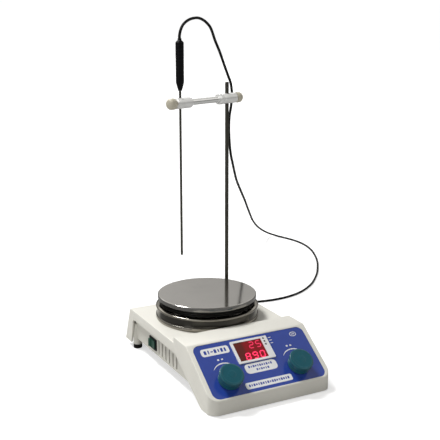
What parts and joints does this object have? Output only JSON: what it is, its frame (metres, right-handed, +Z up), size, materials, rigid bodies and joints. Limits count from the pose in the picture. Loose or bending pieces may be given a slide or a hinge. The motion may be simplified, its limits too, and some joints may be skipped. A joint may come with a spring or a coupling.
{
  "type": "magnetic stirrer",
  "caption": "Benchtop hotplate magnetic stirrer: sloped control panel, round heated plate, rod stand with an adjustable clamp and a cabled temperature probe.",
  "frame": {"origin": "on the standing surface, 1.5 mm left of the middle of the casing's footprint, on the line through the heating plate and display", "axes": "+X to the casing's right seen from the controls, +Y towards the rear, +Z up"},
  "size_m": [0.5108, 0.6726, 0.4423],
  "materials": {
    "cover_paint": "satin off-white powder coat",
    "tray_paint": "satin light grey powder coat",
    "panel_film": "glossy printed film",
    "white_plastic": "fine satin",
    "red_window": "tinted clear, gloss",
    "teal_plastic": "satin moulded",
    "black_plastic": "fine grain",
    "cream_plastic": "satin moulded",
    "lamp_plastic": "clear, gloss",
    "board_laminate": "solder resist",
    "polished_steel": "mirror polish",
    "rod_steel": "drawn",
    "bright_metal": "brushed",
    "chrome_plate": "bright",
    "dark_metal": "dull",
    "cast_alloy": "satin cast",
    "insulation": "fibrous board",
    "winding": "varnished tape",
    "rubber": "matt",
    "glass_fuse": "clear"
  },
  "bodies": {
    "base": {"upper_cover": "cover_paint", "lower_chassis": "tray_paint", "rear_panel": "bright_metal", "control_panel": "panel_film", "display_bezel": "white_plastic", "display_window": "red_window", "digit_modules": "black_plastic", "indicator_lamps": "lamp_plastic", "display_board": "board_laminate", "potentiometers": "dark_metal", "potentiometer_nuts": "bright_metal", "switch_frame": "black_plastic", "hot_plate": "polished_steel", "heating_element": "dark_metal", "insulation_disc": "insulation", "plate_collar": "dark_metal", "bowl": "polished_steel", "plate_pillars": "bright_metal", "plate_sensor": "bright_metal", "stirring_motor": "dark_metal", "motor_bracket": "bright_metal", "bracket_screws": "bright_metal", "control_board": "board_laminate", "board_pillars": "bright_metal", "transformer": "winding", "heat_sink": "cast_alloy", "triac": "black_plastic", "mains_inlet": "black_plastic", "inlet_pins": "bright_metal", "fuse_holder": "black_plastic", "fuse_link": "glass_fuse", "probe_socket": "bright_metal", "rubber_feet": "rubber", "case_screws": "bright_metal", "rod_nut": "bright_metal", "wiring_loom": "rubber", "plug_body": "bright_metal", "cable_run": "rubber"},
    "speed_control": {"speed_shaft": "bright_metal", "speed_knob": "teal_plastic"},
    "temperature_control": {"temperature_shaft": "bright_metal", "temperature_knob": "teal_plastic"},
    "rocker": {"switch_rocker": "teal_plastic"},
    "stirring_rotor": {"motor_shaft": "bright_metal", "magnet_carrier": "cast_alloy", "drive_magnets": "dark_metal"},
    "fuse_drawer": {"fuse_cap": "black_plastic"},
    "coupling_ring": {"plug_ring": "bright_metal"},
    "stand": {"support_rod": "rod_steel"},
    "clamp": {"rod_boss": "cast_alloy", "cross_rod": "chrome_plate", "probe_boss": "cast_alloy", "cable_drop": "rubber"},
    "rod_screw": {"rod_thumbscrew": "cream_plastic"},
    "probe_screw": {"probe_thumbscrew": "cream_plastic"},
    "probe": {"probe_sheath": "rod_steel", "probe_handle": "black_plastic", "cable_arch": "rubber"}
  },
  "joints": [
    {"name": "speed_knob_turn", "type": "hinge", "parent": "base", "child": "speed_control", "pos_m": [-0.0475, -0.11059, 0.03219], "axis": [0, -0.568, 0.8231], "range_deg": [-280, 0]},
    {"name": "temperature_knob_turn", "type": "hinge", "parent": "base", "child": "temperature_control", "pos_m": [0.0475, -0.11059, 0.03219], "axis": [0, -0.568, 0.8231], "range_deg": [-280, 0]},
    {"name": "power_switch_tilt", "type": "hinge", "parent": "base", "child": "rocker", "pos_m": [-0.0761, 0.0445, 0.0285], "axis": [0, 0, 1], "range_deg": [-16, 0]},
    {"name": "stirring_drive_spin", "type": "hinge", "parent": "base", "child": "stirring_rotor", "pos_m": [0, 0.039, 0.05], "axis": [0, 0, 1], "continuous": true},
    {"name": "fuse_cap_turn", "type": "hinge", "parent": "base", "child": "fuse_drawer", "pos_m": [-0.008, 0.12075, 0.03225], "axis": [0, 0.9343, 0.3564], "range_deg": [0, 90]},
    {"name": "plug_ring_turn", "type": "hinge", "parent": "base", "child": "coupling_ring", "pos_m": [0.03, 0.12075, 0.03225], "axis": [0, 0.9343, 0.3564], "range_deg": [0, 360]},
    {"name": "stand_swing", "type": "hinge", "parent": "base", "child": "stand", "pos_m": [0.058, 0.0925, 0.05], "axis": [0, 0, 1], "range_deg": [-110, 60], "deforming": ["cable_run"]},
    {"name": "clamp_height", "type": "slide", "parent": "stand", "child": "clamp", "axis": [0, 0, 1], "range_m": [-0.03, 0.012], "deforming": ["cable_drop"]},
    {"name": "rod_screw_turn", "type": "hinge", "parent": "clamp", "child": "rod_screw", "pos_m": [0.058, 0.0925, 0.336], "axis": [0.9245, 0.3811, 0], "range_deg": [0, 360]},
    {"name": "probe_screw_turn", "type": "hinge", "parent": "clamp", "child": "probe_screw", "pos_m": [-0.02752, 0.05725, 0.336], "axis": [-0.9245, -0.3811, 0], "range_deg": [0, 360]},
    {"name": "probe_height", "type": "slide", "parent": "clamp", "child": "probe", "axis": [0, 0, 1], "range_m": [-0.008, 0.1], "deforming": ["cable_arch"]}
  ]
}
